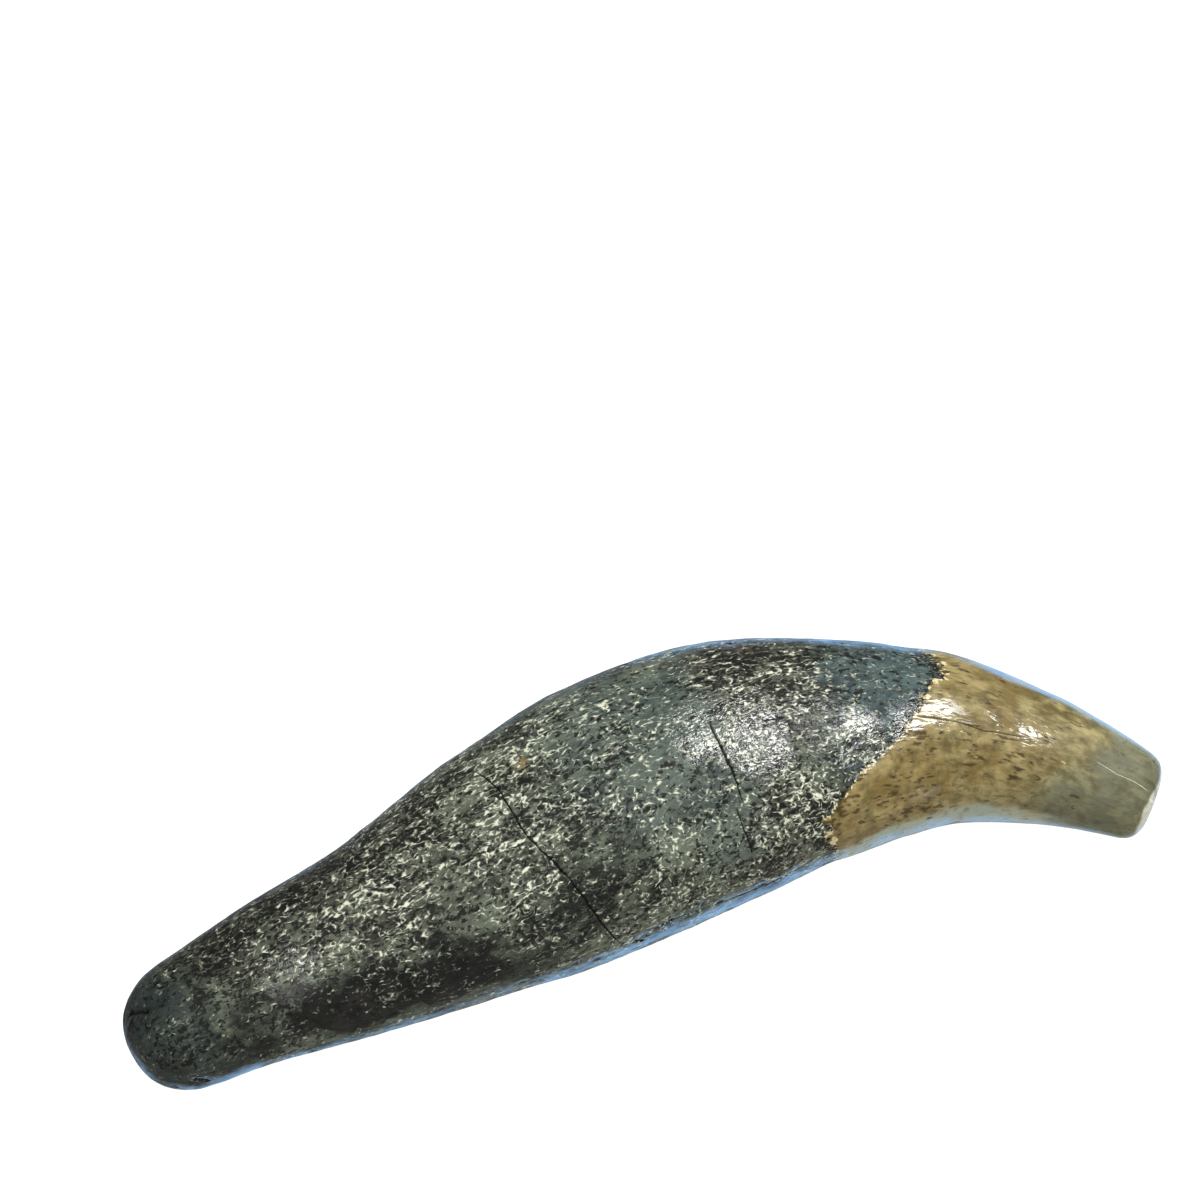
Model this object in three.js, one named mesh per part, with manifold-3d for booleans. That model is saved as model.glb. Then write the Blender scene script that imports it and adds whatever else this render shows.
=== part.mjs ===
// Fossil canine tooth of a cave bear, lying on its side: one solid, because a tooth grows as one piece.
// A long swollen root tapers to a blunt rounded end, and a short curved crown ends in a worn tip.
// Where the crown's enamel laps over the root it stops at a slanting, ragged ledge. Drying cracks
// run across the root, and its end is nicked.
//
// Millimetres, +Z up. X runs from the root end to the tip, the bowed edge of the tooth faces +Y,
// and Z = 0 is the surface it lies on, with the origin under the middle of its box.
import * as THREE from "three";
import { mergeVertices } from "three/addons/utils/BufferGeometryUtils.js";
import Module from "manifold-3d";

const { degToRad, lerp, smoothstep } = THREE.MathUtils;

// Driving dimensions of the whole tooth: the chord, the bow of its middle line, the greatest breadth
const LENGTH = 118;
const BOW = 15.6;
const BREADTH = 31.6;

// How the tooth settles: rolled towards its hollow edge, with the belly worn flat where it rests
const ROLL = degToRad(12);
const REST_FLAT = 0.35;

// The two ends: how far the rounding reaches along the tooth, and how square it is
const ROOT_CAP = 7;
const ROOT_SQUARENESS = 2.4;
const TIP_CAP = 2.6;
const TIP_SQUARENESS = 3;

// A section across the tooth is an oval, a little fuller than an ellipse
const SECTION_SQUARENESS = 2.15;

// The form from root end to tip. Each station gives its place along the chord as a share of LENGTH,
// how far the middle line bows away from the chord as a share of BOW, the breadth in the plane of the
// bow as a share of BREADTH, and the thickness as a share of that breadth.
const STATIONS = [
  { along: -0.012, bow: -0.17, breadth: 0.395, flatness: 0.84 },
  { along: 0.127, bow: 0.13, breadth: 0.555, flatness: 0.8 },
  { along: 0.254, bow: 0.34, breadth: 0.725, flatness: 0.76 },
  { along: 0.381, bow: 0.61, breadth: 0.92, flatness: 0.74 },
  { along: 0.5, bow: 0.865, breadth: 1.0, flatness: 0.735 },
  { along: 0.61, bow: 0.985, breadth: 0.975, flatness: 0.75 },
  { along: 0.72, bow: 0.98, breadth: 0.83, flatness: 0.775 },
  { along: 0.822, bow: 0.825, breadth: 0.665, flatness: 0.8 },
  { along: 0.911, bow: 0.475, breadth: 0.49, flatness: 0.84 },
  { along: 1.004, bow: -0.07, breadth: 0.3, flatness: 0.88 },
];

// The enamel's edge: its distance from the root end at every 30 degrees around the tooth, how far it
// wanders, how proud the enamel stands there and how far towards the tip that fades
const ENAMEL_EDGE = [97.5, 98.5, 99.5, 97.5, 91.5, 82.5, 85, 87, 89, 91, 93.5, 95.5];
const ENAMEL_RAGGED = 0.5;
const ENAMEL_LEDGE = 0.3;
const ENAMEL_FADE = 14;
const LEDGE_RUN = 0.25;

// Low swellings of the grown surface
const LUMP_HEIGHT = 0.2;

// Cracks and nicks: each runs through places given as distance from the root end and degrees around
const GROOVES = [
  {
    width: 0.5,
    depth: 0.5,
    through: [[48, 50], [47.3, 85], [47.7, 107], [49.1, 126], [50.2, 151], [52, 174]],
  },
  { width: 0.45, depth: 0.45, through: [[72.1, 86], [72, 104], [72.2, 117], [72, 127]] },
  { width: 0.45, depth: 0.4, through: [[71, 126], [71.2, 138], [71.6, 151]] },
  { width: 1.2, depth: 0.7, through: [[1.6, 35], [2.4, 58], [3.8, 78]] },
  { width: 0.9, depth: 0.6, through: [[4.2, 160], [5, 168], [5.6, 178]] },
];
const GROOVE_STEPS = 14;
const SMALLEST_STEP = 0.004;

// Rows of points around and along the tooth
const AROUND = 64;
const ROOT_CAP_ROWS = 7;
const ROOT_ROWS = 26;
const CROWN_ROWS = 15;
const TIP_ROWS = 6;

// The middle line, and the half breadth (x) and half thickness (y) that belong to the same parameter
const middleLine = new THREE.CatmullRomCurve3(
  STATIONS.map(({ along, bow }) => new THREE.Vector3((along - 0.5) * LENGTH, bow * BOW, 0)),
);
const halfSizes = new THREE.CatmullRomCurve3(
  STATIONS.map(({ breadth, flatness }) =>
    new THREE.Vector3(breadth, breadth * flatness, 0).multiplyScalar(BREADTH / 2)),
);
middleLine.arcLengthDivisions = 800;
const ARC_LENGTH = middleLine.getLength();

const enamelLine = new THREE.CatmullRomCurve3(
  ENAMEL_EDGE.map((station) => new THREE.Vector3(station, 0, 0)), true, "catmullrom", 0.5,
);

// A share raised to the power that turns a circle's sine or cosine into a fuller oval's
const squared = (share, squareness) => Math.sign(share) * Math.abs(share) ** (2 / squareness);

// Where the enamel stops, along the tooth, at an angle around it
function enamelEdge(angle) {
  const turn = THREE.MathUtils.euclideanModulo(angle / (2 * Math.PI), 1);
  const ragged = Math.sin(7 * angle + 0.6) + Math.sin(13 * angle + 2.1) + 0.8 * Math.sin(21 * angle);
  return enamelLine.getPoint(turn).x + ENAMEL_RAGGED * ragged;
}

// Broad, shallow swellings that keep the grown form from looking turned
function lump(station, angle) {
  const along = station / LENGTH;
  return LUMP_HEIGHT * (Math.sin(13 * along + 2 * angle) + Math.sin(21 * along - 3 * angle + 1.3)) / 2;
}

// How far a row reaches out from the middle line: full size between the two rounded ends
function reach(station) {
  const intoRoot = Math.max(0, 1 - station / ROOT_CAP);
  const intoTip = Math.max(0, 1 - (ARC_LENGTH - station) / TIP_CAP);
  const root = (1 - intoRoot ** ROOT_SQUARENESS) ** (1 / ROOT_SQUARENESS);
  const tip = (1 - intoTip ** TIP_SQUARENESS) ** (1 / TIP_SQUARENESS);
  return root * tip;
}

// The surface point at a station along the middle line and an angle around it, raised outwards.
// The angle is 0 on the bowed edge and 90 degrees on top.
function surfacePoint(station, angle, raised) {
  const parameter = middleLine.getUtoTmapping(station / ARC_LENGTH);
  const half = halfSizes.getPoint(parameter);
  const outwards = raised + lump(station, angle);
  const across = reach(station) * (half.x + outwards) * squared(Math.cos(angle), SECTION_SQUARENESS);
  const above = reach(station) * (half.y + outwards) * squared(Math.sin(angle), SECTION_SQUARENESS);
  const up = new THREE.Vector3(0, 0, 1);
  const side = up.clone().cross(middleLine.getTangent(parameter));
  return middleLine.getPoint(parameter).addScaledVector(side, across).addScaledVector(up, above);
}

// The rows of the tooth from root end to tip at one angle, each a station and how far it is raised
function rowsAt(angle) {
  const edge = enamelEdge(angle);
  const rows = [];
  for (let i = 0; i <= ROOT_CAP_ROWS; i++) {
    const turn = (i / ROOT_CAP_ROWS) * (Math.PI / 2);
    rows.push({ station: ROOT_CAP * (1 - squared(Math.cos(turn), ROOT_SQUARENESS)), raised: 0 });
  }
  for (let i = 1; i <= ROOT_ROWS; i++) {
    rows.push({ station: lerp(ROOT_CAP, edge, i / ROOT_ROWS), raised: 0 });
  }
  for (let i = 0; i <= CROWN_ROWS; i++) {
    const station = lerp(edge + LEDGE_RUN, ARC_LENGTH - TIP_CAP, i / CROWN_ROWS);
    rows.push({ station, raised: ENAMEL_LEDGE * (1 - smoothstep(station, edge, edge + ENAMEL_FADE)) });
  }
  for (let i = 1; i <= TIP_ROWS; i++) {
    const turn = (i / TIP_ROWS) * (Math.PI / 2);
    rows.push({ station: ARC_LENGTH - TIP_CAP * (1 - squared(Math.sin(turn), TIP_SQUARENESS)), raised: 0 });
  }
  return rows;
}

// A sphere's grid of points, one pole at the root end and the other at the tip, drawn out into the tooth
function toothGeometry() {
  const lastRow = rowsAt(0).length - 1;
  const geometry = new THREE.SphereGeometry(1, AROUND, lastRow);
  const position = geometry.getAttribute("position");
  for (let column = 0; column <= AROUND; column++) {
    const angle = -2 * Math.PI * ((column % AROUND) / AROUND);
    rowsAt(angle).forEach(({ station, raised }, i) => {
      position.setXYZ(i * (AROUND + 1) + column, ...surfacePoint(station, angle, raised));
    });
  }
  return geometry;
}

// A thin wedge, edge inwards, that follows a groove over the surface and runs out at both ends
function wedgeGeometry({ width, depth, through }) {
  const path = new THREE.CatmullRomCurve3(
    through.map(([station, degrees]) => surfacePoint(station, degToRad(degrees), 0)),
  );
  const geometry = new THREE.BoxGeometry(1, 1, 1, GROOVE_STEPS, 1, 1);
  const position = geometry.getAttribute("position");
  const corner = new THREE.Vector3();
  for (let i = 0; i < position.count; i++) {
    corner.fromBufferAttribute(position, i);
    const share = corner.x + 0.5;
    const point = path.getPointAt(share);
    const middle = middleLine.getPoint(nearestParameter(point));
    const out = point.clone().sub(middle).normalize();
    const across = out.clone().cross(path.getTangentAt(share)).normalize();
    const into = depth * Math.sqrt(Math.sin(Math.PI * share)) - 0.06;
    point.addScaledVector(out, corner.z > 0 ? depth : -into);
    point.addScaledVector(across, corner.y * width * (corner.z > 0 ? 2 : 0.15));
    position.setXYZ(i, ...point);
  }
  return geometry;
}

// The parameter of the middle line's point nearest to a place, out of a fine run of them
function nearestParameter(place) {
  const runs = Array.from({ length: 401 }, (_, i) => i / 400);
  const distance = (parameter) => middleLine.getPoint(parameter).distanceToSquared(place);
  return runs.reduce((best, parameter) => (distance(parameter) < distance(best) ? parameter : best));
}

const wasm = await Module();
wasm.setup();

// A closed solid from a geometry's triangles
function solid(geometry) {
  const bare = geometry.clone();
  bare.deleteAttribute("normal");
  bare.deleteAttribute("uv");
  const merged = mergeVertices(bare, 1e-5);
  return new wasm.Manifold(new wasm.Mesh({
    numProp: 3,
    vertProperties: new Float32Array(merged.getAttribute("position").array),
    triVerts: new Uint32Array(merged.index.array),
  }));
}

// The geometry of a solid's triangles
function geometryOf(body) {
  const { vertProperties, triVerts } = body.getMesh();
  const geometry = new THREE.BufferGeometry();
  geometry.setAttribute("position", new THREE.BufferAttribute(vertProperties, 3));
  geometry.setIndex(new THREE.BufferAttribute(triVerts, 1));
  return geometry;
}

// Rolls the tooth to the way it lies, flattens the belly where it rests, and puts the origin under it
function layDown(geometry) {
  geometry.rotateX(ROLL);
  geometry.computeBoundingBox();
  const floor = geometry.boundingBox.min.z + REST_FLAT;
  const position = geometry.getAttribute("position");
  for (let i = 0; i < position.count; i++) {
    position.setZ(i, Math.max(position.getZ(i), floor));
  }
  geometry.computeBoundingBox();
  const middle = geometry.boundingBox.getCenter(new THREE.Vector3());
  geometry.translate(-middle.x, -middle.y, -floor);
  geometry.computeVertexNormals();
  return geometry;
}

const grooved = GROOVES.reduce(
  (body, groove) => body.subtract(solid(wedgeGeometry(groove))),
  solid(toothGeometry()),
);

const fossil = new THREE.MeshStandardMaterial({ color: 0x5b5d54, roughness: 0.42, metalness: 0 });

const tooth = new THREE.Mesh(layDown(geometryOf(grooved.simplify(SMALLEST_STEP))), fossil);
tooth.name = "tooth";

const part = new THREE.Group();
part.add(tooth);

export default part;
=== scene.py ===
"""Fossil cave bear canine, dressed: one tooth lying on its side on a bright table."""

import logging
import math
from dataclasses import dataclass, field
from enum import Enum

import bmesh
import bpy
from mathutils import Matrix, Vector, kdtree, noise
from mathutils.bvhtree import BVHTree


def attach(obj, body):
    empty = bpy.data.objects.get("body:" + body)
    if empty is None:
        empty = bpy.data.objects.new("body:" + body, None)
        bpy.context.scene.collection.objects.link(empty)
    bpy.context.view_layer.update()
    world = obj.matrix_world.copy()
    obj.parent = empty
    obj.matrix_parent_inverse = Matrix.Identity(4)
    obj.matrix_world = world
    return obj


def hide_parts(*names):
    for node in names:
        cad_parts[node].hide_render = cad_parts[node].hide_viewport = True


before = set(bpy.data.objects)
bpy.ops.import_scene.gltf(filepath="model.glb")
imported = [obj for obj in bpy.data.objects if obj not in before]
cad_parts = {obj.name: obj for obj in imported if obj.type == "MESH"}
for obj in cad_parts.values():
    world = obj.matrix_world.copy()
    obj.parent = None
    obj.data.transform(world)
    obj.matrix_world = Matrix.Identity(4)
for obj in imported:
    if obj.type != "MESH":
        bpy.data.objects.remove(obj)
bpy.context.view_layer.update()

MM = 0.001
# millimetres that count as nowhere near
FAR = 9.0
# radians from which cracks count their angles, just below the bowed edge, which no crack crosses
FIRST_ANGLE = -0.4
LOG = logging.getLogger("tooth")


def linear(hex_colour: str) -> tuple[float, float, float, float]:
    """Turns an sRGB hex colour to linear values.

    Args:
        hex_colour: Six hex digits, such as "5b5d54".

    Returns:
        Red, green, blue and an alpha of 1, linear.
    """
    shares = [int(hex_colour[i:i + 2], 16) / 255 for i in (0, 2, 4)]
    red, green, blue = (c / 12.92 if c <= 0.04045 else ((c + 0.055) / 1.055) ** 2.4 for c in shares)
    return red, green, blue, 1.0


def smoothstep(low: float, high: float, value: float) -> float:
    """Eases from 0 at low to 1 at high.

    Args:
        low: Where the rise starts.
        high: Where it ends.
        value: The place to read.

    Returns:
        A share from 0 to 1.
    """
    share = min(1.0, max(0.0, (value - low) / (high - low)))
    return share * share * (3 - 2 * share)


def through(values: list[float], share: float) -> float:
    """Reads a smooth curve through four values, between the middle two.

    Args:
        values: Four neighbouring values.
        share: How far from the second to the third.

    Returns:
        The curve's value there.
    """
    before, first, last, after = values
    slope_in = (last - before) / 2
    slope_out = (after - first) / 2
    square = share * share
    cube = square * share
    return (
        first * (2 * cube - 3 * square + 1)
        + slope_in * (cube - 2 * square + share)
        + last * (3 * square - 2 * cube)
        + slope_out * (cube - square)
    )


def rough(place: Vector, waves: tuple[tuple[float, float], ...]) -> float:
    """Adds up noise of several heights and sizes.

    Args:
        place: Where to read it.
        waves: The height and the size of each wave.

    Returns:
        The sum of the waves there.
    """
    return sum(height * noise.noise(place / size) for height, size in waves)


class Mask(Enum):
    """Masks stored on the mesh under these names: stained areas, painted light and shade, gloss and the
    film's bands, then features of the relief.
    """

    SLATE = "slate"
    UMBER = "umber"
    SOOT_AND_SHADE = "soot_and_shade"
    STUB = "stub"
    FLECKS_AND_SHEEN = "flecks_and_sheen"
    AMBER = "amber"
    PAINTED_EDGE_LIGHT = "painted_edge_light"
    GREY = "grey"
    CHALK = "chalk"
    OCHRE = "ochre"
    REFLECTION_BAND = "reflection_band"
    DARK_AND_SHADOW = "dark_and_shadow"
    MIST = "mist"
    POLISH = "polish"
    ENAMEL = "enamel"
    BORDER = "border"
    SPLIT = "split"
    HOLLOW = "hollow"


class Pattern(Enum):
    """Kinds of noise: soft clouds, or thin ridges that wind like worm trails."""

    CLOUD = "FBM"
    WORM = "RIDGED_MULTIFRACTAL"


@dataclass(frozen=True)
class Place:
    """Where a point of the surface is on the straightened tooth, in millimetres and radians."""

    station: float
    across: float
    above: float
    angle: float

    @property
    def grain(self) -> Vector:
        """The place as a vector: along the tooth, across it and above its middle."""
        return Vector((self.station, self.across, self.above))

    @property
    def radius(self) -> float:
        """The distance from the middle line."""
        return math.hypot(self.across, self.above)


@dataclass(frozen=True)
class Patch:
    """A soft-edged patch of one mask, an oval on the straightened surface.

    Its middle is a station along the tooth and degrees around it, and its half length and half width are in
    millimetres. It fades over the share soft of them, and wander holds how far its edge strays, as shares,
    with the sizes in millimetres.
    """

    zone: Mask
    station: float
    degrees: float
    along: float
    around: float
    soft: float = 0.4
    strength: float = 1.0
    wander: tuple[tuple[float, float], ...] = ((0.35, 5.0), (0.15, 1.6))

    def share(self, place: Place) -> float:
        """Tells how strongly the patch covers a place.

        Args:
            place: The place on the tooth.

        Returns:
            A share from 0 to the patch's strength.
        """
        turn = (place.angle - math.radians(self.degrees) + math.pi) % math.tau - math.pi
        reach = math.hypot((place.station - self.station) / self.along, turn * place.radius / self.around)
        if reach > 1 + self.soft + sum(stray for stray, _ in self.wander):
            return 0.0
        reach += rough(place.grain, self.wander)
        return self.strength * (1 - smoothstep(1 - self.soft, 1 + self.soft, reach))


@dataclass(frozen=True)
class Crack:
    """A split of the surface through places given as station and degrees.

    Its width, depth and wander are in millimetres. A depth below 0 makes it a raised line, and a tint gives
    the line a stain. It tapers over the given share of its length at both ends.
    """

    course: tuple[tuple[float, float], ...]
    width: float
    depth: float
    wander: float = 0.12
    dark: float = 1.0
    tint: Mask | None = None
    wander_size: float = 1.3
    margin: float = 4.0
    taper: float = 1 / 12

    def distance(self, place: Place) -> tuple[float, float]:
        """Measures how far a place is from the split.

        Args:
            place: The place on the tooth.

        Returns:
            The distance in millimetres, and the share of the split's length reached there.
        """
        stations = [station for station, _ in self.course]
        if not min(stations) - self.margin < place.station < max(stations) + self.margin:
            return FAR, 0.0
        sway = rough(place.grain, ((self.wander, self.wander_size),))
        angle = (place.angle - FIRST_ANGLE) % math.tau + FIRST_ANGLE
        here = Vector((place.station + sway, angle * place.radius))
        best = (FAR, 0.0)
        for i in range(len(self.course) - 1):
            start, end = (Vector((s, math.radians(d) * place.radius)) for s, d in self.course[i:i + 2])
            run = end - start
            share = min(1.0, max(0.0, (here - start).dot(run) / run.length_squared))
            gap = (here - start - run * share).length
            best = min(best, (gap, (i + share) / (len(self.course) - 1)))
        return best

    def profile(self, place: Place) -> float:
        """Gives how deep in the split a place lies.

        Args:
            place: The place on the tooth.

        Returns:
            A share from 0 at its sides to 1 at its middle.
        """
        gap, share = self.distance(place)
        ends = min(1.0, share / self.taper, (1 - share) / self.taper)
        return ends * max(0.0, 1 - gap / (self.width / 2))


@dataclass
class MiddleLine:
    """The tooth's middle line from root end to tip, as the settled tooth lies."""

    knots: tuple[tuple[float, float, float], ...] = (
        (-60.4, -2.65, 0.84),
        (-44.0, 2.03, 0.80),
        (-29.0, 5.3, 0.76),
        (-14.0, 9.5, 0.74),
        (0.0, 13.5, 0.735),
        (13.0, 15.4, 0.75),
        (26.0, 15.3, 0.775),
        (38.0, 12.9, 0.80),
        (48.5, 7.4, 0.84),
        (59.5, -1.1, 0.88),
    )
    place: tuple[float, float, float] = (-0.36, -11.36, 8.82)
    roll: float = math.radians(12)
    steps: int = 80

    def __post_init__(self) -> None:
        """Draws the line as a fine run of points, each with its station and flatness."""
        rows = [self.knots[0], *self.knots, self.knots[-1]]
        flat_run = []
        for i in range(len(self.knots) - 1):
            for step in range(self.steps + (i == len(self.knots) - 2)):
                near = rows[i:i + 4]
                flat_run.append([through([row[k] for row in near], step / self.steps) for k in range(3)])
        self.up = Vector((0, -math.sin(self.roll), math.cos(self.roll)))
        sideways = Vector((0, math.cos(self.roll), math.sin(self.roll)))
        base = Vector(self.place)
        self.points = [(base + Vector((x, 0, 0)) + sideways * y) * MM for x, y, _ in flat_run]
        self.flatness = [flat for _, _, flat in flat_run]
        self.stations = [0.0]
        for start, end in zip(self.points, self.points[1:]):
            self.stations.append(self.stations[-1] + (end - start).length / MM)
        self.tangents = [
            (self.points[min(i + 1, len(self.points) - 1)] - self.points[max(i - 1, 0)]).normalized()
            for i in range(len(self.points))
        ]
        self.finder = kdtree.KDTree(len(self.points))
        for i, point in enumerate(self.points):
            self.finder.insert(point, i)
        self.finder.balance()

    @property
    def length(self) -> float:
        """The line's length in millimetres."""
        return self.stations[-1]

    def index(self, station: float) -> int:
        """Gives the point of the fine run at a station.

        Args:
            station: Millimetres from the root end.

        Returns:
            The point's index.
        """
        low, high = 0, len(self.stations) - 1
        while high - low > 1:
            middle = (low + high) // 2
            low, high = (middle, high) if self.stations[middle] <= station else (low, middle)
        return low

    def outwards(self, i: int, angle: float) -> Vector:
        """Gives the direction away from the line at an angle around it.

        Args:
            i: The point of the fine run.
            angle: 0 on the bowed edge, a quarter turn on top.

        Returns:
            A direction in the plane across the line.
        """
        side = self.up.cross(self.tangents[i])
        return (side * math.cos(angle) + self.up * (self.flatness[i] * math.sin(angle))).normalized()

    def locate(self, point: Vector) -> Place:
        """Finds where a point is on the straightened tooth.

        Args:
            point: A point in metres.

        Returns:
            Its place.
        """
        _, i, _ = self.finder.find(point)
        offset = point - self.points[i]
        beyond = offset.dot(self.tangents[i])
        across = offset.dot(self.up.cross(self.tangents[i])) / MM
        above = offset.dot(self.up) / MM
        angle = math.atan2(above / self.flatness[i], across)
        return Place(self.stations[i] + beyond / MM, across, above, angle)


@dataclass
class EnamelEdge:
    """The ragged line where the crown's enamel stops on the root, with a low lip and a groove below it.

    The stations go around the tooth in equal steps from its bowed edge. All sizes are in millimetres.
    """

    stations: tuple[float, ...] = (97.5, 98.5, 99.5, 97.5, 91.5, 82.5, 85, 87, 89, 91, 93.5, 95.5)
    ragged: tuple[tuple[float, float], ...] = ((1.1, 3.1), (0.8, 1.2), (0.25, 0.55))
    proud: float = 0.04
    rise: float = 0.12
    flat: float = 0.5
    fade: float = 9.0
    groove_place: float = -0.4
    groove_width: float = 0.35
    groove_depth: float = 0.03

    def beyond(self, place: Place) -> float:
        """Measures how far a place lies past the edge, towards the tip.

        Args:
            place: The place on the tooth.

        Returns:
            Millimetres, below 0 on the root.
        """
        count = len(self.stations)
        turn = place.angle / math.tau * count % count
        i = int(turn)
        near = [self.stations[(i + k) % count] for k in (-1, 0, 1, 2)]
        return place.station - through(near, turn - i) + rough(place.grain, self.ragged)

    def relief(self, beyond: float) -> float:
        """Gives the height of the enamel's lip and groove.

        Args:
            beyond: Millimetres past the edge.

        Returns:
            Millimetres above the surface.
        """
        lip = smoothstep(-self.rise, self.rise, beyond) * (1 - smoothstep(self.flat, self.fade, beyond))
        groove = math.exp(-((beyond - self.groove_place) / self.groove_width) ** 2)
        return self.proud * lip - self.groove_depth * groove


class NodeSheet:
    """A material's node tree, what it reads from the mesh, and the one way nodes are added to it."""

    def __init__(self, name: str, attributes: dict[str, str]) -> None:
        """Starts an empty material.

        Args:
            name: The material's name.
            attributes: The mesh's attributes to read, each with the output that holds its values.
        """
        self.material = bpy.data.materials.new(name)
        self.material.use_nodes = True
        self.tree = self.material.node_tree
        self.tree.nodes.clear()
        self.read = {
            name: self.add("Attribute", {}, output, attribute_name=name)
            for name, output in attributes.items()
        }

    def add(self, kind: str, inputs: dict[str | int, object], output: str = "", **settings: object
            ) -> bpy.types.NodeSocket | None:
        """Adds a node with its settings and links.

        Args:
            kind: The node's type without its ShaderNode prefix.
            inputs: Values or sockets by input name or number.
            output: The output to give back, or none for the first in use.
            settings: Properties to set.

        Returns:
            The output, if the node has one.
        """
        node = self.tree.nodes.new("ShaderNode" + kind)
        for key, value in settings.items():
            setattr(node, key, value)
        open_inputs = {socket.name: socket for socket in reversed(node.inputs) if socket.enabled}
        for key, value in inputs.items():
            socket = node.inputs[key] if isinstance(key, int) else open_inputs[key]
            if isinstance(value, bpy.types.NodeSocket):
                self.tree.links.new(value, socket)
            else:
                socket.default_value = value
        return next((end for end in node.outputs if end.enabled and output in ("", end.name)), None)


@dataclass(frozen=True)
class Wave:
    """A pattern of noise over the straightened tooth, of a size in millimetres.

    The weight is its share in a sum. Detail, fine and swirl are the noise's octaves, their strength and its
    distortion. A value of drawn below 1 draws it out along the tooth.
    """

    size: float
    weight: float = 1.0
    detail: float = 3.0
    fine: float = 0.62
    swirl: float = 0.0
    drawn: float = 0.62
    seed: float = 0.0
    pattern: Pattern = Pattern.CLOUD

    def value(self, sheet: NodeSheet) -> bpy.types.NodeSocket:
        """Draws the pattern, finer across the tooth than along it.

        Args:
            sheet: The sheet to add nodes to.

        Returns:
            Its value, about 0.5, or up to 1 and more along a ridge.
        """
        scale = (self.drawn / self.size, 1 / self.size, 1 / self.size)
        place = sheet.add("Mapping", {"Vector": sheet.read["grain"], "Scale": scale})
        ridges = {"Offset": 1.0, "Gain": 1.0} if self.pattern is Pattern.WORM else {}
        return sheet.add("TexNoise", {
            "Vector": place, "W": self.seed, "Scale": 1.0, "Detail": self.detail, "Roughness": self.fine,
            "Distortion": self.swirl, **ridges,
        }, noise_dimensions="4D", noise_type=self.pattern.value)


@dataclass(frozen=True)
class Mark:
    """A mark of the surface, which rises while its waves and masks, added up, go from low to high."""

    low: float
    high: float
    waves: tuple[Wave, ...] = ()
    masks: tuple[tuple[Mask, float], ...] = ()
    least: float = 0.0
    most: float = 1.0
    colour: str = "000000"

    def share(self, sheet: NodeSheet) -> bpy.types.NodeSocket:
        """Draws how strongly the mark shows.

        Args:
            sheet: The sheet to add nodes to.

        Returns:
            A value from least to most.
        """
        terms = [(wave.value(sheet), wave.weight) for wave in self.waves]
        terms += [(sheet.read[mask.value], weight) for mask, weight in self.masks]
        total: object = 0.0
        for value, weight in terms:
            total = sheet.add("Math", {0: value, 1: weight, 2: total}, operation="MULTIPLY_ADD")
        return sheet.add("MapRange", {
            "Value": total, "From Min": self.low, "From Max": self.high, "To Min": self.least,
            "To Max": self.most,
        }, interpolation_type="SMOOTHSTEP")

    def over(self, sheet: NodeSheet, under: object) -> bpy.types.NodeSocket:
        """Lays the mark's colour over another.

        Args:
            sheet: The sheet to add nodes to.
            under: The colour that it covers.

        Returns:
            The covered colour.
        """
        inputs = {"Factor": self.share(sheet), "A": under, "B": linear(self.colour)}
        return sheet.add("Mix", inputs, data_type="RGBA")


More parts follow.
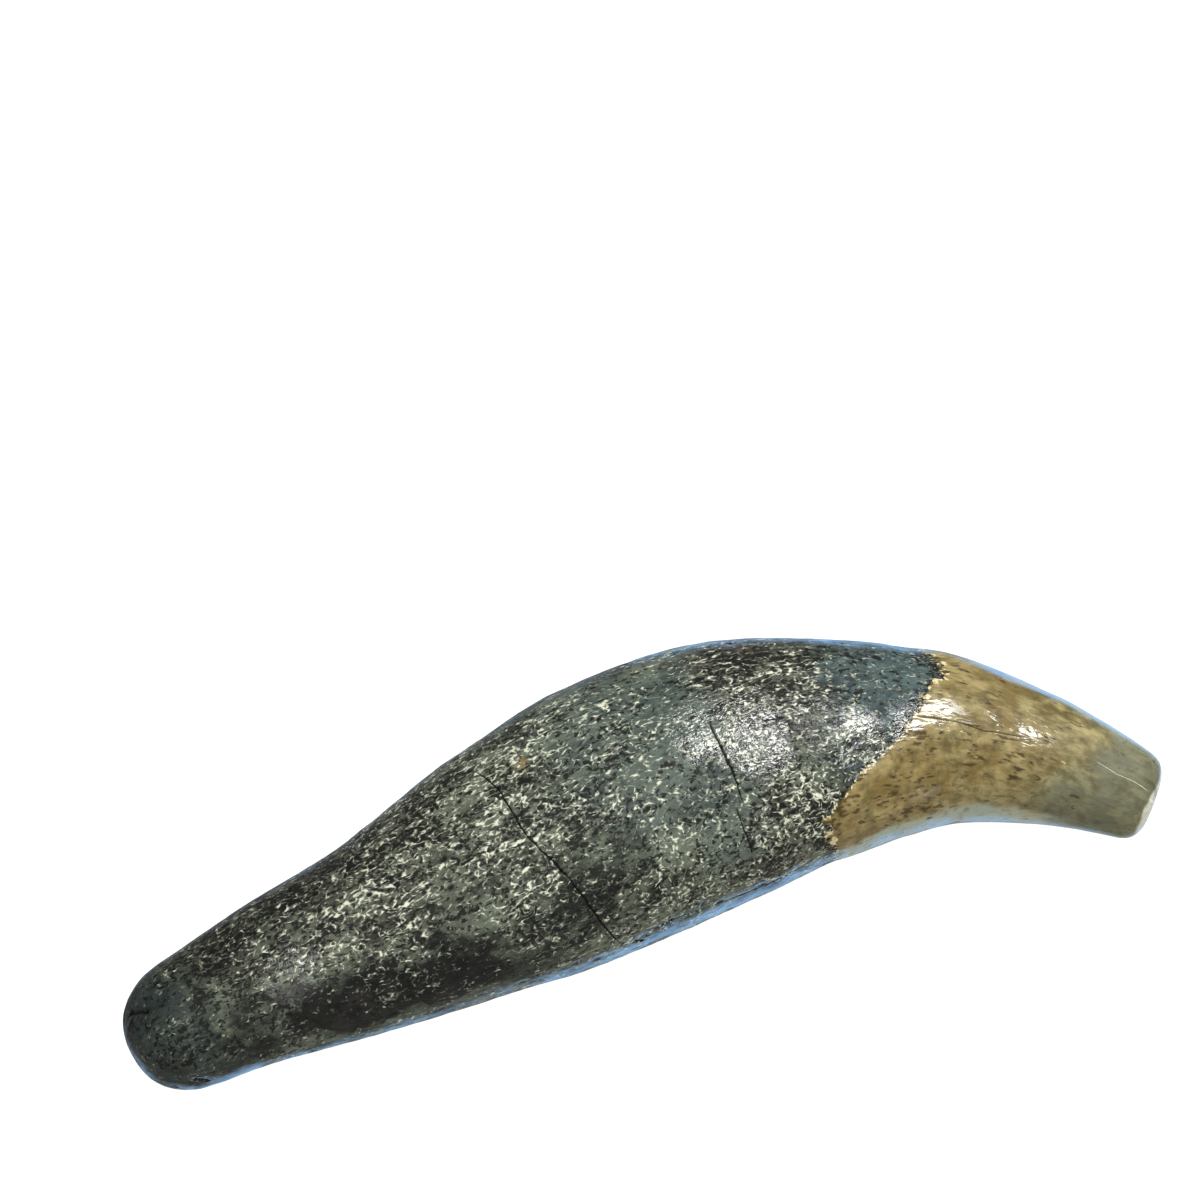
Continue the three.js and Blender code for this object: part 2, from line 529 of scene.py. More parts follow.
@dataclass(frozen=True)
class FossilFinish:
    """Waxed fossil tooth: mineral-stained root, dark and mottled, under an olive-tan enamel crown.

    The root's cement is stained grey-green by minerals and freckled with pale grains and black pits.
    The enamel is harder and glossier, with streaks along the crown. A wax rubbed over both gives a
    broken shine. A film mirrors the bright table where the surface turns away, stronger along painted
    bands at the edges, and tints that reflection a painted cool blue.
    """

    root_ground: str = "181a15"
    crown_ground: str = "554a29"
    # the film's blue is a painted tint on its reflection; the table it mirrors glows near white
    film: str = "93c2f2"
    root_roughness: float = 0.65
    crown_roughness: float = 0.5
    shine: float = 0.85
    # heights in millimetres of the wax's ripples on the root and on the crown
    ripple: float = 0.09
    scratch: float = 0.06
    # how far the surface turns away where the film starts and is full, and how much sooner along the painted
    # reflection bands
    film_starts: float = 0.6
    film_full: float = 0.95
    band_lead: float = 0.12
    film_most: float = 0.75
    # the crown starts along a line that fine noise frays
    on_crown: Mark = Mark(2.4, 2.6, (Wave(0.8, 5.0, 3.0, 0.7, 0.5, 0.8, 8.0),), ((Mask.ENAMEL, 1.0),))
    split: Mark = Mark(0.1, 0.6, masks=((Mask.SPLIT, 1.0),), colour="0a0b08")

    # each wave's size, weight, detail, fine, swirl, drawn and seed: first soft clouds, 1 to 5 mm across
    clouds: tuple[Wave, ...] = (Wave(5.0, 1.0, 5.0, 0.66), Wave(1.2, 0.7, 3.0, 0.65, 0.6))
    drifts: tuple[Wave, ...] = (Wave(1.8, 1.0, 4.0, 0.66, 0.5, 0.7, 11.0),)
    # worm-like grains under 1 mm long, gathered in drifts of about 4 mm
    grains: tuple[Wave, ...] = (
        Wave(0.7, 0.45, 1.0, 0.6, 0.9, 0.6, 1.0, Pattern.WORM),
        Wave(4.0, 0.9, 5.0, 0.72, 0.6, 0.5, 5.0),
        Wave(0.5, 0.9, 1.0, 0.6, 0.5, 0.7, 6.0),
    )
    holes: tuple[Wave, ...] = (
        Wave(0.5, -1.0, 2.0, 0.6, 0.6, 0.7, 2.0),
        Wave(3.4, 0.8, 5.0, 0.7, 0.4, 0.6, 9.0),
    )
    enamel: tuple[Wave, ...] = (
        Wave(2.6, 1.2, 4.0, 0.6, 0.4, 0.55),
        Wave(0.7, 0.5, 2.0, 0.6, 0.4, 0.4),
    )
    streaks: tuple[Wave, ...] = (
        Wave(0.46, 1.0, 1.5, 0.6, 0.3, 0.26, 3.0),
        Wave(2.5, 0.9, 3.0, 0.65, 0.3, 0.6, 7.0),
    )
    blotches: tuple[Wave, ...] = (Wave(1.5, 1.0, 3.0, 0.65, 0.3, 0.9, 21.0),)
    chips: tuple[Wave, ...] = (Wave(0.9, 1.0, 2.0, 0.65, 0.5, 0.8, 6.0),)
    # the wax's own ripples, over half a millimetre so that each one glints
    grit: tuple[Wave, ...] = (Wave(0.75, 1.0, 1.5, 0.6, 2.0, 0.65, 13.0),)
    scratches: tuple[Wave, ...] = (Wave(0.7, 1.0, 1.5, 0.6, 0.8, 0.3, 13.0),)
    polish: tuple[Wave, ...] = (Wave(3.0, 0.7, 4.0, 0.66, 0.3, 0.8, 4.0),)
    band_breaks: tuple[Wave, ...] = (
        Wave(3.0, 1.0, 4.0, 0.65, 0.4, 1.0, 2.0),
        Wave(0.8, 0.7, 2.0, 0.6, 0.4, 0.25, 3.0),
    )

    def stained(self, zone: Mask, most: float, colour: str) -> Mark:
        """Lays a zone's colour over it, broken up along its edges."""
        return Mark(0.8, 1.3, self.drifts, ((zone, 1.0),), most=most, colour=colour)

    def root_marks(self) -> tuple[Mark, ...]:
        """Gives the root's stains, grains and pits, with painted shade and a painted highlight among them.

        Returns:
            The marks, each laid over the ones before.
        """
        tone = ((Mask.FLECKS_AND_SHEEN, 0.06), (Mask.DARK_AND_SHADOW, -0.18))
        pale = (
            (Mask.FLECKS_AND_SHEEN, 0.08), (Mask.SOOT_AND_SHADE, -0.2), (Mask.STUB, -0.2), (Mask.SLATE, -0.08),
            (Mask.DARK_AND_SHADOW, -0.12),
        )
        pitted = (
            (Mask.FLECKS_AND_SHEEN, 0.03), (Mask.UMBER, 0.12), (Mask.SOOT_AND_SHADE, -0.04), (Mask.STUB, -0.02),
            (Mask.BORDER, 0.15), (Mask.DARK_AND_SHADOW, 0.06),
        )
        return (
            Mark(0.68, 1.04, self.clouds, tone, colour="555b4d"),
            self.stained(Mask.UMBER, 0.5, "3f382f"),
            Mark(0.6, 1.4, self.drifts, ((Mask.MIST, 1.0),), most=0.45, colour="46534f"),
            self.stained(Mask.SLATE, 0.85, "252f2f"),
            Mark(0.8, 1.4, self.drifts, ((Mask.SLATE, 0.55),), most=0.7, colour="566a6a"),
            # the lower flank's near-black, partly a dark stain and partly painted shade of the side turned
            # from the light above, then its browner mottling
            self.stained(Mask.SOOT_AND_SHADE, 0.95, "0b0a09"),
            Mark(0.9, 1.3, self.drifts, ((Mask.SOOT_AND_SHADE, 0.5),), most=0.6, colour="34302d"),
            self.stained(Mask.STUB, 0.85, "161c1c"),
            Mark(0.75, 1.2, self.drifts, ((Mask.STUB, 0.5),), most=0.6, colour="404a46"),
            Mark(0.0, 1.0, masks=((Mask.OCHRE, 1.0),), colour="7f6737"),
            Mark(-0.06, 0.02, self.holes, pitted, most=0.92, colour="090a08"),
            # paler halos, then the grains themselves, thickest where the slate lobe glints, which is a
            # painted highlight
            Mark(1.32, 1.62, self.grains, pale, most=0.45, colour="878a7b"),
            Mark(1.52, 1.72, self.grains, pale, most=0.95, colour="bec0aa"),
            Mark(0.0, 1.0, masks=((Mask.HOLLOW, 1.0),), colour="0a0b08"),
        )

    def crown_marks(self) -> tuple[Mark, ...]:
        """Gives the enamel's clouds, stains, specks and chips, and pale painted light along its edges.

        Returns:
            The marks, each laid over the ones before.
        """
        brown = ((Mask.AMBER, 0.08), (Mask.BORDER, 0.1), (Mask.GREY, -0.06), (Mask.PAINTED_EDGE_LIGHT, -0.05))
        return (
            Mark(0.66, 1.08, self.enamel, ((Mask.AMBER, -0.04),), colour="8e845c"),
            Mark(0.0, 1.0, masks=((Mask.AMBER, 1.0),), most=0.35, colour="80683a"),
            Mark(0.65, 1.4, self.drifts, ((Mask.GREY, 1.0),), most=0.75, colour="565a4a"),
            # pale painted light on the crown's edges: a glow through the lower edge and a highlight along
            # the upper edge
            Mark(0.75, 1.4, self.drifts, ((Mask.PAINTED_EDGE_LIGHT, 1.0),), most=0.8, colour="929b8b"),
            Mark(0.48, 0.68, self.blotches, ((Mask.AMBER, 0.03), (Mask.PAINTED_EDGE_LIGHT, -0.03)),
                 most=0.55, colour="3f3a20"),
            # brown specks drawn out along the crown, thickest near the enamel's edge
            Mark(1.07, 1.23, self.streaks, brown, most=0.82, colour="2d220e"),
            Mark(0.72, 0.8, self.chips, ((Mask.BORDER, 0.24),), most=0.8, colour="cdbf98"),
            Mark(0.7, 1.6, self.drifts, ((Mask.CHALK, 1.0),), colour="bdbba8"),
        )

    def colour(self, sheet: NodeSheet, on_crown: bpy.types.NodeSocket) -> bpy.types.NodeSocket:
        """Lays the colours of the root and the crown, and darkens the cracks.

        Args:
            sheet: The sheet to add nodes to.
            on_crown: 0 on the root and 1 on the crown.

        Returns:
            The colour.
        """
        root: object = linear(self.root_ground)
        for mark in self.root_marks():
            root = mark.over(sheet, root)
        crown: object = linear(self.crown_ground)
        for mark in self.crown_marks():
            crown = mark.over(sheet, crown)
        both = sheet.add("Mix", {"Factor": on_crown, "A": root, "B": crown}, data_type="RGBA")
        return self.split.over(sheet, both)

    def ripples(self, sheet: NodeSheet, on_crown: bpy.types.NodeSocket) -> bpy.types.NodeSocket:
        """Ripples the wax, in streaks on the enamel, which breaks its shine into sparks.

        Args:
            sheet: The sheet to add nodes to.
            on_crown: 0 on the root and 1 on the crown.

        Returns:
            The rippled normal.
        """
        smooth_zones = ((Mask.SOOT_AND_SHADE, -0.3), (Mask.STUB, -0.3))
        grit = Mark(0.1, 0.9, self.grit, smooth_zones, most=self.ripple).share(sheet)
        scratch = Mark(0.1, 0.9, self.scratches, most=self.scratch).share(sheet)
        height = sheet.add("Mix", {"Factor": on_crown, "A": grit, "B": scratch})
        return sheet.add("Bump", {"Height": height, "Strength": 1.0, "Distance": MM})

    def film_share(self, sheet: NodeSheet) -> bpy.types.NodeSocket:
        """Gives the film's strength, which grows where the surface turns away and along the painted
        reflection bands.

        Args:
            sheet: The sheet to add nodes to.

        Returns:
            A share from 0 to film_most.
        """
        facing = sheet.add("LayerWeight", {"Blend": 0.5}, "Facing")
        painted_band = sheet.read[Mask.REFLECTION_BAND.value]
        turned = sheet.add("Math", {0: painted_band, 1: self.band_lead, 2: facing}, operation="MULTIPLY_ADD")
        edge = sheet.add("MapRange", {
            "Value": turned, "From Min": self.film_starts, "From Max": self.film_full,
            "To Max": self.film_most,
        }, interpolation_type="SMOOTHSTEP")
        band_breaks = Mark(0.82, 1.5, self.band_breaks, ((Mask.REFLECTION_BAND, 0.42),), least=0.1, most=1.0).share(sheet)
        return sheet.add("Math", {0: edge, 1: band_breaks}, operation="MULTIPLY")

    def material(self) -> bpy.types.Material:
        """Builds the material: stained stone under a coat of wax, and the film's painted blue reflection
        along its edges.

        Returns:
            The finished material.
        """
        sheet = NodeSheet("waxed_fossil_tooth", {"grain": "Vector"} | {mask.value: "Fac" for mask in Mask})
        on_crown = self.on_crown.share(sheet)
        colour = self.colour(sheet, on_crown)
        ripples = self.ripples(sheet, on_crown)
        rubbed = ((Mask.POLISH, 1.0), (Mask.SPLIT, -1.0))
        waxed = Mark(0.5, 1.1, self.polish, rubbed, most=self.shine).share(sheet)
        roughness = sheet.add("Mix", {
            "Factor": on_crown, "A": self.root_roughness, "B": self.crown_roughness,
        })
        stone = sheet.add("BsdfPrincipled", {
            "Base Color": colour, "Roughness": roughness, "Normal": ripples, "IOR": 1.45,
            "Specular IOR Level": 0.15, "Coat Weight": waxed, "Coat Roughness": 0.1, "Coat IOR": 1.44,
            "Coat Normal": ripples,
        })
        film = sheet.add("BsdfAnisotropic", {"Color": linear(self.film), "Roughness": 0.16})
        skin = sheet.add("MixShader", {0: self.film_share(sheet), 1: stone, 2: film})
        sheet.add("OutputMaterial", {"Surface": skin})
        return sheet.material


@dataclass
class Tooth:
    """The whole canine, root and crown, as one skin drawn over its solid."""

    middle: MiddleLine = field(default_factory=MiddleLine)
    edge: EnamelEdge = field(default_factory=EnamelEdge)
    finish: FossilFinish = field(default_factory=FossilFinish)
    columns: int = 232
    rows: int = 310
    # metres within which the corners of the solid's loose triangles are one
    weld: float = 1e-7
    # the skin's rows fan out over each end from this far in, and count there for this length
    root_inset: float = 6.0
    tip_inset: float = 3.5
    root_round: float = 8.0
    tip_round: float = 5.5
    # rounds of smoothing, inwards and outwards by turns so that the form keeps its size
    smoothing: int = 24
    # the solid's own grooves are smoothed this near to a crack and to the enamel's edge, then cut afresh
    eased_crack: float = 0.9
    eased_edge: float = 2.2
    eased_rounds: int = 40
    # how near to a crack and to the enamel's edge the skin is made finer, once for each pair
    fine_reaches: tuple[tuple[float, float], ...] = ((0.9, 0.7), (0.5, 0.0))
    # heights and sizes of the lumps and the grit
    lumps: tuple[tuple[float, float], ...] = ((0.2, 9.0), (0.07, 3.2))
    root_grit: tuple[tuple[float, float], ...] = ((0.03, 0.9),)
    crown_grit: tuple[tuple[float, float], ...] = ((0.012, 0.9),)
    # pits of the root, drawn out along it and gathered in patches
    pit_spacing: float = 1.2
    pit_drawn: float = 0.6
    pit_size: float = 0.42
    pit_least: float = 0.02
    pit_floor: float = 0.35
    pit_depth: float = 0.13
    pit_shuffle: float = 3.7
    pit_chance: tuple[float, float] = (-0.15, 0.5)
    pit_gather: tuple[tuple[float, float], ...] = ((0.5, 7.0),)
    # how far the marks beside the enamel's edge reach
    border_reach: float = 1.1
    # each crack's course, width, depth, wander and darkness
    cracks: tuple[Crack, ...] = (
        # across the root
        Crack(((46.8, 50), (47.3, 62), (47.6, 74), (47.3, 85), (47.3, 97), (47.7, 107), (48.4, 114),
               (49.1, 126), (49.6, 137), (50.2, 151), (51.2, 166), (52, 174)), 0.26, 0.4),
        Crack(((72.1, 86), (72, 95), (72.1, 105), (72.2, 116), (72, 127)), 0.28, 0.35),
        Crack(((71.0, 126), (71.2, 138), (71.6, 151)), 0.24, 0.25),
        # the notch and the chip of the root's end
        Crack(((1.6, 35), (2.2, 58), (3.2, 76)), 0.7, 0.35, 0.3, 0.6),
        Crack(((4.2, 170), (5, 176), (5.6, 182)), 0.6, 0.3, 0.3, 0.8),
        # the crown's hairlines, and the pale crease near its tip
        Crack(((96, 101), (101.5, 103), (105, 106), (110.5, 102)), 0.2, 0.1, 0.12, 0.6),
        Crack(((101.5, 103), (102.8, 109)), 0.18, 0.07, 0.12, 0.5),
        Crack(((118.5, 98), (121.5, 102), (123.6, 101.5), (125.8, 104)), 0.15, -0.03, 0.2, 0.0, Mask.CHALK),
        # the seam along the lower edge, and its notch
        Crack(((54, 177), (57, 172), (62, 174), (67, 178), (73, 178), (79, 174)), 0.3, 0.14, 0.25, 0.7),
        Crack(((53.4, 177), (54.6, 182)), 0.7, 0.3, 0.3, 0.9),
        # the side towards the table
        Crack(((69.5, 236), (70.4, 252), (70.0, 268), (71.2, 284)), 0.24, 0.3),
    )
    # each patch's zone, station, degrees, half length, half width, softness and strength
    patches: tuple[Patch, ...] = (
        # the side that lies up
        Patch(Mask.SLATE, 93, 70, 8, 8.5, 0.6),
        Patch(Mask.SLATE, 87, 118, 5, 5, 0.5, 0.65),
        Patch(Mask.SLATE, 66, 90, 8, 16, 0.7, 0.3),
        Patch(Mask.MIST, 64, 78, 10, 13, 0.6, 0.9),
        Patch(Mask.MIST, 70, 128, 6, 7, 0.6, 0.9),
        Patch(Mask.UMBER, 27, 72, 24, 12, 0.7, 0.5),
        Patch(Mask.UMBER, 79, 66, 6, 9, 0.6, 0.9),
        Patch(Mask.UMBER, 76, 150, 7, 9, 0.6, 0.7),
        # the dark lower flank: partly a dark stain, partly painted shade of the side turned from the light
        # above
        Patch(Mask.SOOT_AND_SHADE, 13, 144, 7, 4.4, 0.5, 0.6),
        Patch(Mask.SOOT_AND_SHADE, 23, 149, 7, 4.3, 0.6),
        Patch(Mask.SOOT_AND_SHADE, 33, 151, 7, 4.6, 0.7, 0.9),
        Patch(Mask.SOOT_AND_SHADE, 42, 160, 6, 3.6, 0.5, 0.6),
        # darker patches, and along the upper edge near the root end a painted shadow of a neighbouring tooth
        Patch(Mask.DARK_AND_SHADOW, 50.5, 143, 3.5, 5, 0.6, 0.9),
        Patch(Mask.DARK_AND_SHADOW, 55, 118, 4, 6, 0.6, 0.5),
        Patch(Mask.DARK_AND_SHADOW, 22, 46, 18, 3.5, 0.6, 0.6),
        Patch(Mask.STUB, 0, 90, 9, 60, 0.6, 0.8),
        Patch(Mask.FLECKS_AND_SHEEN, 35, 88, 30, 10, 0.6, 0.7),
        Patch(Mask.FLECKS_AND_SHEEN, 50, 62, 9, 6, 0.6, 0.8),
        Patch(Mask.FLECKS_AND_SHEEN, 83, 92, 5, 7, 0.5, 0.6),
        Patch(Mask.FLECKS_AND_SHEEN, 72, 108, 4, 5, 0.6, 0.9),
        Patch(Mask.FLECKS_AND_SHEEN, 80, 52, 6, 4, 0.6, 0.2),
        Patch(Mask.FLECKS_AND_SHEEN, 74, 95, 6, 6, 0.6, 0.8),
        # grains thickened where the slate lobe glints: a painted highlight
        Patch(Mask.FLECKS_AND_SHEEN, 88, 112, 4, 5, 0.5, 1.6),
        Patch(Mask.FLECKS_AND_SHEEN, 80, 138, 6, 12, 0.5, 0.8),
        Patch(Mask.FLECKS_AND_SHEEN, 65, 148, 16, 7, 0.6, 0.7),
        Patch(Mask.OCHRE, 51.5, 67, 0.9, 0.9, 0.6, 0.6),
        Patch(Mask.AMBER, 91, 145, 13, 10, 0.6),
        Patch(Mask.AMBER, 102, 66, 7, 6, 0.6, 0.6),
        Patch(Mask.AMBER, 107, 114, 6, 6, 0.6, 0.8),
        # painted light: a glow through the crown's lower edge, a highlight along its upper edge
        Patch(Mask.PAINTED_EDGE_LIGHT, 97, 183, 18, 2.7, 0.5),
        Patch(Mask.PAINTED_EDGE_LIGHT, 118, 38, 10, 3, 0.8, 0.6),
        Patch(Mask.GREY, 124, 85, 6, 7, 0.5, 0.9),
        Patch(Mask.GREY, 120.5, 155, 8, 5, 0.6, 0.8),
        Patch(Mask.CHALK, 128.2, 80, 2.4, 60, 0.15, 0.85),
        Patch(Mask.POLISH, 76, 99, 4.5, 5, 0.5),
        Patch(Mask.POLISH, 71, 89, 3.5, 3, 0.5, 0.9),
        Patch(Mask.POLISH, 84, 96, 4, 5, 0.5, 0.4),
        Patch(Mask.POLISH, 89, 118, 3.5, 4, 0.5, 0.8),
        Patch(Mask.POLISH, 18, 107, 4, 3.5, 0.5, 0.5),
        Patch(Mask.POLISH, 98, 109, 5.5, 4, 0.6, 0.65),
        Patch(Mask.POLISH, 109, 92, 4.5, 2.8, 0.6, 0.75),
        Patch(Mask.POLISH, 97, 147, 2.5, 2, 0.5, 0.6),
        # bands along the edges where the film's painted blue reflection is made stronger
        Patch(Mask.REFLECTION_BAND, 62, 177, 22, 5.5, 0.5, 1.1),
        Patch(Mask.REFLECTION_BAND, 28, 178, 22, 4, 0.5, 0.6),
        Patch(Mask.REFLECTION_BAND, 7, 172, 6, 4.5, 0.5, 1.0),
        Patch(Mask.REFLECTION_BAND, 106, 186, 20, 3, 0.5, 0.9),
        Patch(Mask.REFLECTION_BAND, 92, 37, 9, 3.5, 0.5, 0.9),
        Patch(Mask.REFLECTION_BAND, 114, 40, 14, 3.5, 0.5, 1.2),
        Patch(Mask.REFLECTION_BAND, 78, 34, 9, 3.5, 0.5, 0.6),
        # the side towards the table
        Patch(Mask.SLATE, 90, 250, 8, 12, 0.6, 0.8),
        Patch(Mask.SLATE, 52, 245, 9, 7, 0.6, 0.5),
        Patch(Mask.MIST, 60, 310, 16, 9, 0.6, 0.9),
        Patch(Mask.UMBER, 62, 268, 14, 9, 0.6, 0.7),
        Patch(Mask.SOOT_AND_SHADE, 28, 236, 17, 7, 0.5, 0.9),
        Patch(Mask.DARK_AND_SHADOW, 74, 222, 9, 6, 0.6, 0.7),
        Patch(Mask.DARK_AND_SHADOW, 18, 305, 12, 6, 0.6, 0.7),
        Patch(Mask.FLECKS_AND_SHEEN, 45, 292, 20, 10, 0.6, 0.9),
        Patch(Mask.FLECKS_AND_SHEEN, 78, 285, 9, 8, 0.6, 0.8),
        Patch(Mask.OCHRE, 37, 282, 1.2, 1.0, 0.6, 0.6),
        Patch(Mask.AMBER, 99, 245, 11, 10, 0.6),
        Patch(Mask.AMBER, 110, 300, 6, 5, 0.6, 0.6),
        Patch(Mask.GREY, 121, 262, 8, 9, 0.5),
        Patch(Mask.POLISH, 70, 262, 6, 5, 0.5, 0.8),
        Patch(Mask.POLISH, 101, 270, 6, 4, 0.5, 0.9),
    )

    def build(self, solid: bpy.types.Object) -> bpy.types.Object:
        """Builds and dresses the tooth.

        Args:
            solid: The CAD node the skin is drawn over.

        Returns:
            The finished piece.
        """
        skin = self.wrap(solid)
        self.refine(skin)
        self.carve(skin)
        mesh = bpy.data.meshes.new("fossil_tooth")
        skin.to_mesh(mesh)
        skin.free()
        mesh.shade_smooth()
        piece = bpy.data.objects.new("fossil_tooth", mesh)
        bpy.context.scene.collection.objects.link(piece)
        mesh.materials.append(self.finish.material())
        return piece

    def ray(self, share: float, angle: float) -> tuple[Vector, Vector]:
        """Gives the ray from inside the tooth to a row and column of the skin.

        Args:
            share: How far along the skin, from the root end to the tip.
            angle: The angle around the middle line.

        Returns:
            Where the ray starts, and its direction.
        """
        barrel = self.middle.length - self.root_inset - self.tip_inset
        run = share * (self.root_round + barrel + self.tip_round)
        station = self.root_inset + min(max(run - self.root_round, 0.0), barrel)
        i = self.middle.index(station)
        into_root = max(0.0, 1 - run / self.root_round)
        into_tip = max(0.0, (run - self.root_round - barrel) / self.tip_round)
        lean = (into_tip - into_root) * math.pi / 2
        out = self.middle.outwards(i, angle)
        return self.middle.points[i], out * math.cos(lean) + self.middle.tangents[i] * math.sin(lean)

    def wrap(self, solid: bpy.types.Object) -> bmesh.types.BMesh:
        """Draws a fine grid of points over the solid and smooths its facets away.

        Args:
            solid: The CAD node.

        Returns:
            The skin.
        """
        form = bmesh.new()
        form.from_mesh(solid.data)
        bmesh.ops.remove_doubles(form, verts=form.verts, dist=self.weld)
        surface = BVHTree.FromBMesh(form)
        skin = bmesh.new()
        bmesh.ops.create_uvsphere(skin, u_segments=self.columns, v_segments=self.rows, radius=1.0)
        for vert in skin.verts:
            angle = math.atan2(vert.co.y, vert.co.x)
            share = 1 - math.acos(min(1.0, max(-1.0, vert.co.z))) / math.pi
            start, direction = self.ray(share, angle)
            vert.co = surface.ray_cast(start, direction)[0]
        form.free()
        grooved = []
        for vert in skin.verts:
            place = self.middle.locate(vert.co)
            if self.crack_gap(place) < self.eased_crack or abs(self.edge.beyond(place)) < self.eased_edge:
                grooved.append(vert)
        for _ in range(self.eased_rounds):
            bmesh.ops.smooth_vert(skin, verts=grooved, factor=0.5,
                                  use_axis_x=True, use_axis_y=True, use_axis_z=True)
        for turn in range(self.smoothing):
            bmesh.ops.smooth_vert(skin, verts=skin.verts, factor=0.5 if turn % 2 == 0 else -0.5,
                                  use_axis_x=True, use_axis_y=True, use_axis_z=True)
        return skin

    def crack_gap(self, place: Place) -> float:
        """Measures how far a place is from the nearest side of any crack, in millimetres."""
        return min(crack.distance(place)[0] - crack.width / 2 for crack in self.cracks)

    def refine(self, skin: bmesh.types.BMesh) -> None:
        """Makes the skin finer along the cracks and the enamel's edge.

        Args:
            skin: The skin to refine.
        """
        for crack_reach, edge_reach in self.fine_reaches:
            near = set()
            for vert in skin.verts:
                place = self.middle.locate(vert.co)
                if self.crack_gap(place) < crack_reach or abs(self.edge.beyond(place)) < edge_reach:
                    near.add(vert)
            edges = [edge for edge in skin.edges if edge.verts[0] in near and edge.verts[1] in near]
            bmesh.ops.subdivide_edges(skin, edges=edges, cuts=1, use_grid_fill=True)

    def pitting(self, place: Place, beyond: float) -> float:
        """Gives how deeply a place lies in a pit of the root.

        Args:
            place: The place on the tooth.
            beyond: How far past the enamel's edge it lies.

        Returns:
            A share from 0 to 1.
        """
        if beyond > 0:
            return 0.0
        drawn = Vector((place.station * self.pit_drawn, place.across, place.above)) / self.pit_spacing
        distances, cells = noise.voronoi(drawn)
        # each cell has its own chance of a pit, and pits gather in patches
        chance = noise.noise(cells[0] * self.pit_shuffle) + rough(place.grain, self.pit_gather)
        size = self.pit_size * smoothstep(*self.pit_chance, chance)
        return smoothstep(size, size * self.pit_floor, distances[0]) if size > self.pit_least else 0.0

    def carve(self, skin: bmesh.types.BMesh) -> None:
        """Works the relief into the skin and marks its stains.

        Args:
            skin: The skin to work on.
        """
        skin.normal_update()
        grain = skin.verts.layers.float_vector.new("grain")
        layers = {mask: skin.verts.layers.float.new(mask.value) for mask in Mask}
        moves = []
        for vert in skin.verts:
            place = self.middle.locate(vert.co)
            beyond = self.edge.beyond(place)
            pit = self.pitting(place, beyond)
            splits = [(crack, crack.profile(place)) for crack in self.cracks]
            deepest, share = max(splits, key=lambda pair: pair[1])
            lump = rough(place.grain, self.lumps)
            grit = rough(place.grain, self.root_grit if beyond < 0 else self.crown_grit)
            height = lump + grit + self.edge.relief(beyond) - self.pit_depth * pit - deepest.depth * share
            moves.append((vert, vert.normal * (height * MM)))
            vert[grain] = place.grain
            for patch in self.patches:
                vert[layers[patch.zone]] = max(vert[layers[patch.zone]], patch.share(place))
            if deepest.tint:
                vert[layers[deepest.tint]] = max(vert[layers[deepest.tint]], share)
            vert[layers[Mask.ENAMEL]] = beyond
            vert[layers[Mask.BORDER]] = math.exp(-((beyond / self.border_reach) ** 2))
            vert[layers[Mask.SPLIT]] = deepest.dark * share
            vert[layers[Mask.HOLLOW]] = pit
        for vert, move in moves:
            vert.co += move
            vert.co.z = max(vert.co.z, 0.0)


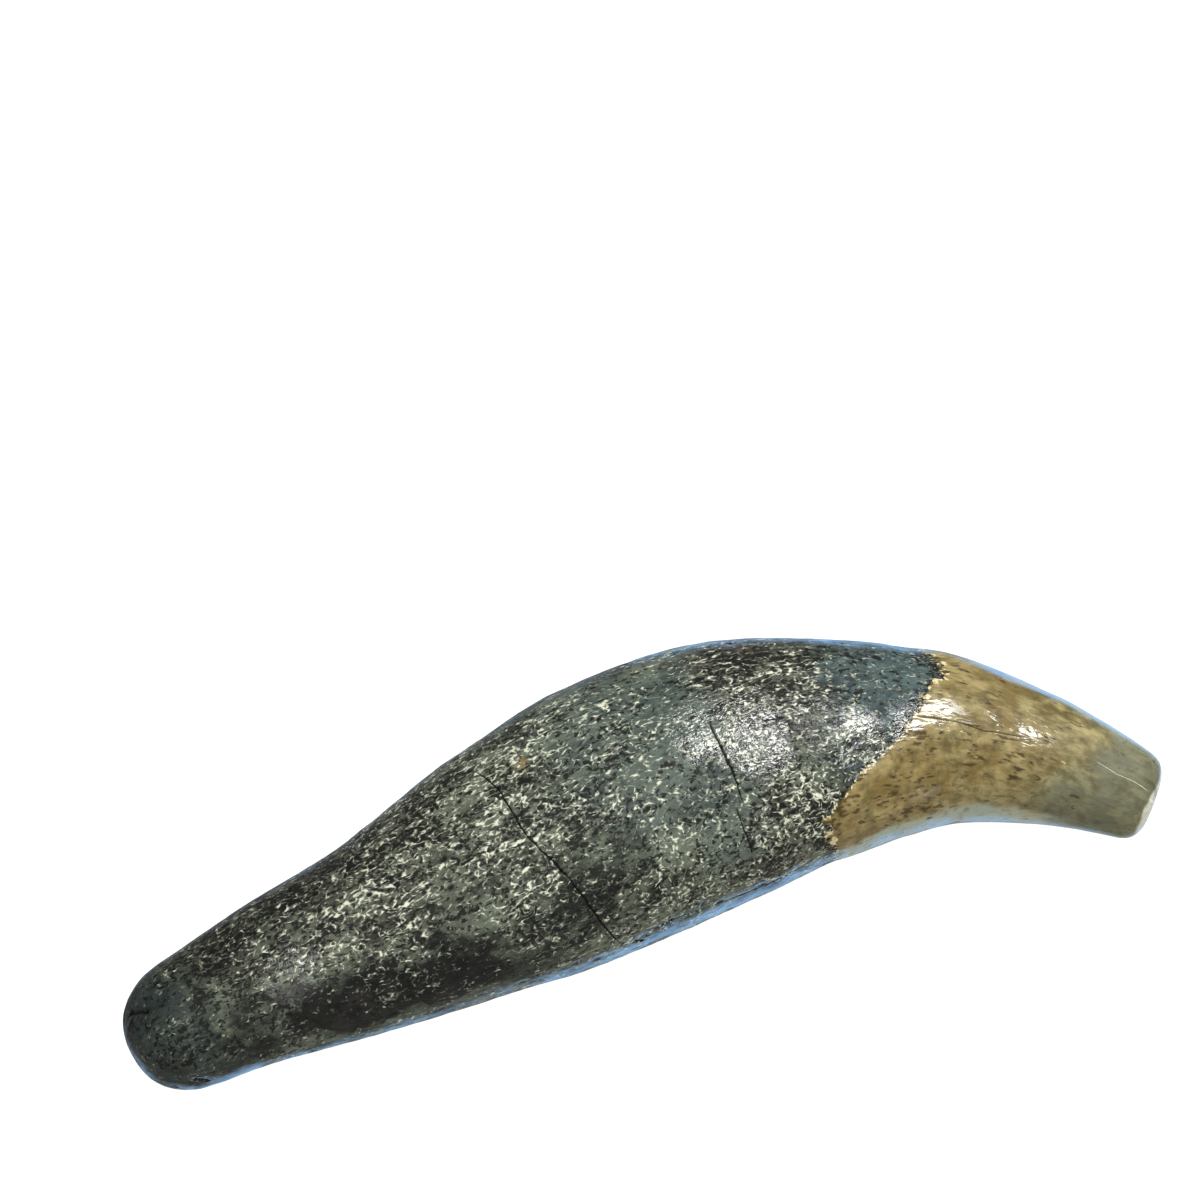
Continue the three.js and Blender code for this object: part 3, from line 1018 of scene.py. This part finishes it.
@dataclass
class BrightTable:
    """The bright table the tooth lies on, its soft light, and the camera."""

    span: float = 6.0
    gap: float = 0.02
    table: str = "5a5e62"
    glow: str = "fffcf6"
    glow_strength: float = 1.06
    room: str = "f4f9ff"
    room_strength: float = 0.14
    panel_distance: float = 0.8
    # each panel's name, direction, side in metres and power in watts
    panels: tuple[tuple[str, tuple[float, float, float], float, float], ...] = (
        ("key_panel", (0.42, 0.04, 0.9), 0.28, 9.0),
        ("side_panel", (-0.08, -0.2, 0.97), 0.12, 1.5),
        ("front_panel", (0.0, -0.75, 0.66), 0.5, 2.5),
    )
    camera_turn: float = -16.24
    camera_rise: float = 46.0
    camera_distance: float = 363.5
    camera_aim: tuple[float, float, float] = (8.8, 44.9, 0.0)
    lens: float = 85.0
    sensor: float = 36.0
    nearest: float = 0.01

    def build(self) -> None:
        """Builds the table, the light and the camera."""
        self.build_table()
        self.build_light()
        self.build_camera()

    def build_table(self) -> None:
        """Builds the table's top, which glows so that it stays pale under the tooth."""
        top = bmesh.new()
        bmesh.ops.create_grid(top, x_segments=1, y_segments=1, size=self.span / 2)
        mesh = bpy.data.meshes.new("table_top")
        top.to_mesh(mesh)
        top.free()
        sheet = NodeSheet("white_acrylic_table", {})
        acrylic = sheet.add("BsdfPrincipled", {
            "Base Color": linear(self.table), "Roughness": 0.6, "Specular IOR Level": 0.0,
            "Emission Color": linear(self.glow), "Emission Strength": self.glow_strength,
        })
        sheet.add("OutputMaterial", {"Surface": acrylic})
        mesh.materials.append(sheet.material)
        table = bpy.data.objects.new("table_top", mesh)
        table.location.z = -self.gap * MM
        bpy.context.scene.collection.objects.link(table)

    def build_light(self) -> None:
        """Builds the even room light and the soft panels overhead."""
        world = bpy.data.worlds.new("room")
        bpy.context.scene.world = world
        world.use_nodes = True
        room = world.node_tree.nodes["Background"]
        room.inputs["Color"].default_value = linear(self.room)
        room.inputs["Strength"].default_value = self.room_strength
        for name, direction, side, power in self.panels:
            panel = bpy.data.lights.new(name, "AREA")
            panel.size = side
            panel.energy = power
            lamp = bpy.data.objects.new(name, panel)
            aim = Vector(direction).normalized()
            lamp.location = aim * self.panel_distance
            lamp.rotation_euler = aim.to_track_quat("Z", "Y").to_euler()
            bpy.context.scene.collection.objects.link(lamp)
        bpy.context.scene.view_settings.view_transform = "Standard"

    def build_camera(self) -> None:
        """Builds the camera at the photograph's viewing angle."""
        turn, rise = math.radians(self.camera_turn), math.radians(self.camera_rise)
        back = Vector((math.sin(turn) * math.cos(rise), -math.cos(turn) * math.cos(rise), math.sin(rise)))
        camera = bpy.data.cameras.new("camera")
        camera.lens = self.lens
        camera.sensor_width = self.sensor
        camera.clip_start = self.nearest
        stand = bpy.data.objects.new("camera", camera)
        stand.location = (Vector(self.camera_aim) + back * self.camera_distance) * MM
        stand.rotation_euler = back.to_track_quat("Z", "Y").to_euler()
        bpy.context.scene.collection.objects.link(stand)
        bpy.context.scene.camera = stand


def main() -> None:
    """Builds the tooth and its setting."""
    logging.basicConfig(level=logging.INFO, format="%(message)s")
    BrightTable().build()
    piece = Tooth().build(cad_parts["tooth"])
    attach(piece, "root")
    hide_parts("tooth")
    LOG.info("%s: %d vertices, %d faces", piece.name, len(piece.data.vertices), len(piece.data.polygons))


if __name__ == "__main__":
    main()
